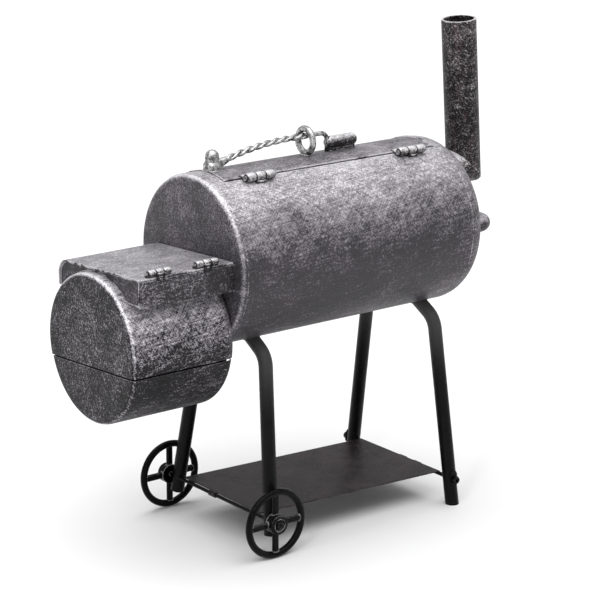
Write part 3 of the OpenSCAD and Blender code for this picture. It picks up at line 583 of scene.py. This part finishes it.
def crowned_hinge(node, joint, radius, outlines, rounding):
    """Rounded plates with one full-bellied knuckle on each, standing for a hinge node."""
    axis_y, axis_z = hinge_axis(joint)
    spans = knuckle_spans(node)
    bm = bmesh.new()
    for x0, x1 in spans:
        for outline in outlines:
            extrude_x(bm, outline, x0, x1)
    sharp = [edge for edge in bm.edges if edge.calc_face_angle(0) > SHARP]
    bmesh.ops.bevel(bm, geom=sharp, offset=rounding, segments=3, profile=0.5,
                    affect="EDGES", clamp_overlap=True)
    for x0, x1 in spans:
        half, middle = (x1 - x0) / 2, (x1 + x0) / 2
        turns = [math.pi / 2 * (k / KNUCKLE_HALF - 1) for k in range(2 * KNUCKLE_HALF + 1)]
        path = [Vector((middle + half * math.sin(t), axis_y, axis_z)) for t in turns]
        radii = [radius * (KNUCKLE_END + (1 - KNUCKLE_END) * max(math.cos(t), 0.0) ** 0.5)
                 for t in turns]
        sweep(bm, path, radii, sides=28)
    piece = new_piece("crowned_" + node, bm, body_of_node[node], slot_of_node[node])
    piece.data.materials[0] = worn_and_lit_hinge
    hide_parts(node)


def build_door_hinges():
    axis_y, axis_z = hinge_axis("chamber_door_hinge")
    pin = math.degrees(math.atan2(axis_y, axis_z - drum_z))
    foot = arc_outline(pin + FOOT_SPAN[0], pin + FOOT_SPAN[1], drum_r - FOOT_SINK,
                       drum_r + FOOT_RISE)
    leaf = arc_outline(pin + DOOR_LEAF_SPAN[0], pin + DOOR_LEAF_SPAN[1],
                       drum_r + DOOR_LEAF_GAP, drum_r + DOOR_LEAF_RISE)
    crowned_hinge("door_hinge_fixed", "chamber_door_hinge", DOOR_KNUCKLE, [foot], FOOT_ROUND)
    crowned_hinge("door_hinge_moving", "chamber_door_hinge", DOOR_KNUCKLE, [leaf], PLATE_ROUND)


def build_lid_hinges():
    axis_y, axis_z = hinge_axis("firebox_lid_hinge")
    low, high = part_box("lid_hinge_fixed")
    lid_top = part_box("firebox_lid")[1].z
    ledge = box_outline(axis_y, axis_z - LID_DROP, high.y, axis_z)
    fold = box_outline(high.y - LID_FOLD, low.z, high.y, low.z + LID_FOLD_RISE)
    leaf = box_outline(axis_y - LID_LEAF_REACH, lid_top - LID_LEAF_SINK,
                       axis_y + LID_LEAF_OVER, lid_top + LID_LEAF_RISE)
    crowned_hinge("lid_hinge_fixed", "firebox_lid_hinge", LID_KNUCKLE, [ledge, fold],
                  PLATE_ROUND)
    crowned_hinge("lid_hinge_moving", "firebox_lid_hinge", LID_KNUCKLE, [leaf], PLATE_ROUND)


build_door_hinges()
build_lid_hinges()


# ---- weld beads --------------------------------------------------------------

NEAR = 0.4 * MM               # how close to a surface counts as on it
SPOKE = math.radians(15)      # directions this close are compared for length
OUTER_SHARE = 0.94            # of the longest one nearby, for a point on the outer line
BEAD_POINTS = 90


def on_drum(point):
    return abs(math.hypot(point.y, point.z - drum_z) - drum_r) < NEAR


def on_flue_cap(point):
    """Whether a point lies on the dished cap at the chimney end."""
    out = math.hypot(point.y, point.z - drum_z) - (drum_r - flue_round)
    if out <= 0:
        return abs(point.x - flue_face_x) < NEAR
    return abs(math.hypot(out, flue_face_x + flue_round - point.x) - flue_round) < NEAR


def meeting_line(node, near, part, count):
    """Points evenly round the outer line where a node meets a surface: near(point) is
    true on that surface, and part(point) on the foot that is meant."""
    found = [v.co.copy() for v in nodes[node].data.vertices if near(v.co) and part(v.co)]
    middle = sum(found, Vector()) / len(found)
    normal = Vector((0, middle.y, middle.z - drum_z))
    if near is on_flue_cap:
        normal = Vector((-1, 0, 0))
    across = normal.orthogonal().normalized()
    up = normal.normalized().cross(across)
    spokes = sorted(
        (math.atan2((p - middle).dot(up), (p - middle).dot(across)), (p - middle).length, p)
        for p in found
    )
    outer = []
    for angle, length, point in spokes:
        reach = max(other[1] for other in spokes
                    if abs((other[0] - angle + math.pi) % TURN - math.pi) < SPOKE)
        if length > OUTER_SHARE * reach:
            outer.append((angle, point))
    line = []
    for k in range(count):
        angle = -math.pi + TURN * (k + 0.5) / count
        after = next((i for i, item in enumerate(outer) if item[0] > angle), 0)
        a0, p0 = outer[after - 1]
        a1, p1 = outer[after]
        gap = (a1 - a0) % TURN or 1.0
        line.append(p0.lerp(p1, ((angle - a0) % TURN) / gap))
    return line


def weld_bead(name, node, near, radius, part=lambda point: True):
    """A rippled bead round one foot of a node, riding with the node."""
    around = meeting_line(node, near, part, BEAD_POINTS)
    bm = bmesh.new()
    # two waves of different lengths make its ripples uneven
    radii = [radius * (1 + 0.16 * math.sin(2.3 * i) + 0.08 * math.sin(0.7 * i + 1))
             for i in range(len(around))]
    sweep(bm, around, radii, sides=10, closed=True)
    new_piece(name, bm, body_of_node[node], slot_of_node[node])


for end in ("fire_back", "fire_front", "flue_back", "flue_front"):
    weld_bead("weld_leg_" + end, "leg_" + end, on_drum, 2.2 * MM)
weld_bead("weld_duct", "stack_duct", on_flue_cap, 4 * MM)
weld_bead("weld_lift_back", "lift_handle", on_flue_cap, 2.6 * MM,
          lambda point: point.y > 0)
weld_bead("weld_lift_front", "lift_handle", on_flue_cap, 2.6 * MM,
          lambda point: point.y < 0)
weld_bead("weld_post", "handle_post", on_drum, 2.4 * MM)
weld_bead("weld_eye", "handle_eye", on_drum, 2.4 * MM)
weld_bead("weld_block", "handle_block", on_drum, 2.2 * MM)


# ---- camera, floor and light ----------------------------------------------

EYE_POINT = (3.87707, 4.97354, 2.40933)
HEADING, PITCH, ROLL = (math.radians(a) for a in (231.898, -15.971, 0.261))
LENS = 146.52
FAR = 100.0                   # how far the camera sees
FLOOR_HALF = 60.0
FLOOR_WHITE, FLOOR_ROUGH = (0.92, 0.92, 0.92, 1), 0.7
RIGHT_ANGLE = math.radians(90)


def aim_camera():
    data = bpy.data.cameras.new("camera")
    data.lens = LENS
    data.clip_end = FAR
    camera = bpy.data.objects.new("camera", data)
    camera.location = EYE_POINT
    camera.matrix_world = (
        Matrix.Translation(camera.location)
        @ Matrix.Rotation(HEADING - RIGHT_ANGLE, 4, "Z")
        @ Matrix.Rotation(RIGHT_ANGLE + PITCH, 4, "X")
        @ Matrix.Rotation(ROLL, 4, "Z")
    )
    bpy.context.scene.collection.objects.link(camera)
    bpy.context.scene.camera = camera


def lay_floor():
    bm = bmesh.new()
    bm.faces.new([bm.verts.new((x * FLOOR_HALF, y * FLOOR_HALF, 0.0))
                  for x, y in ((-1, -1), (1, -1), (1, 1), (-1, 1))])
    mesh = bpy.data.meshes.new("floor")
    bm.to_mesh(mesh)
    bm.free()
    floor = bpy.data.objects.new("floor", mesh)
    bpy.context.scene.collection.objects.link(floor)
    p = Paint("pale_floor")
    floor.data.materials.append(p.finish(FLOOR_WHITE, FLOOR_ROUGH))


def light(kind, name, place, target, energy, **settings):
    data = bpy.data.lights.new(name, kind)
    data.energy = energy
    for key, value in settings.items():
        setattr(data, key, value)
    lamp = bpy.data.objects.new(name, data)
    lamp.location = place
    lamp.rotation_euler = (Vector(target) - Vector(place)).to_track_quat("-Z", "Y").to_euler()
    bpy.context.scene.collection.objects.link(lamp)


def light_studio():
    world = bpy.data.worlds.new("studio")
    bpy.context.scene.world = world
    world.use_nodes = True
    background = world.node_tree.nodes["Background"]
    background.inputs["Color"].default_value = (1, 1, 1, 1)
    background.inputs["Strength"].default_value = 0.5
    light("SUN", "key", place=(0.4, 0.4, 6.0), target=(0, 0, 0.6), energy=2.5,
          angle=math.radians(84))
    light("AREA", "side_box", place=(2.6, 1.8, 2.6), target=(0, 0, 0.5), energy=19,
          shape="RECTANGLE", size=0.5, size_y=1.4)
    bpy.context.scene.view_settings.view_transform = "Standard"


aim_camera()
lay_floor()
light_studio()
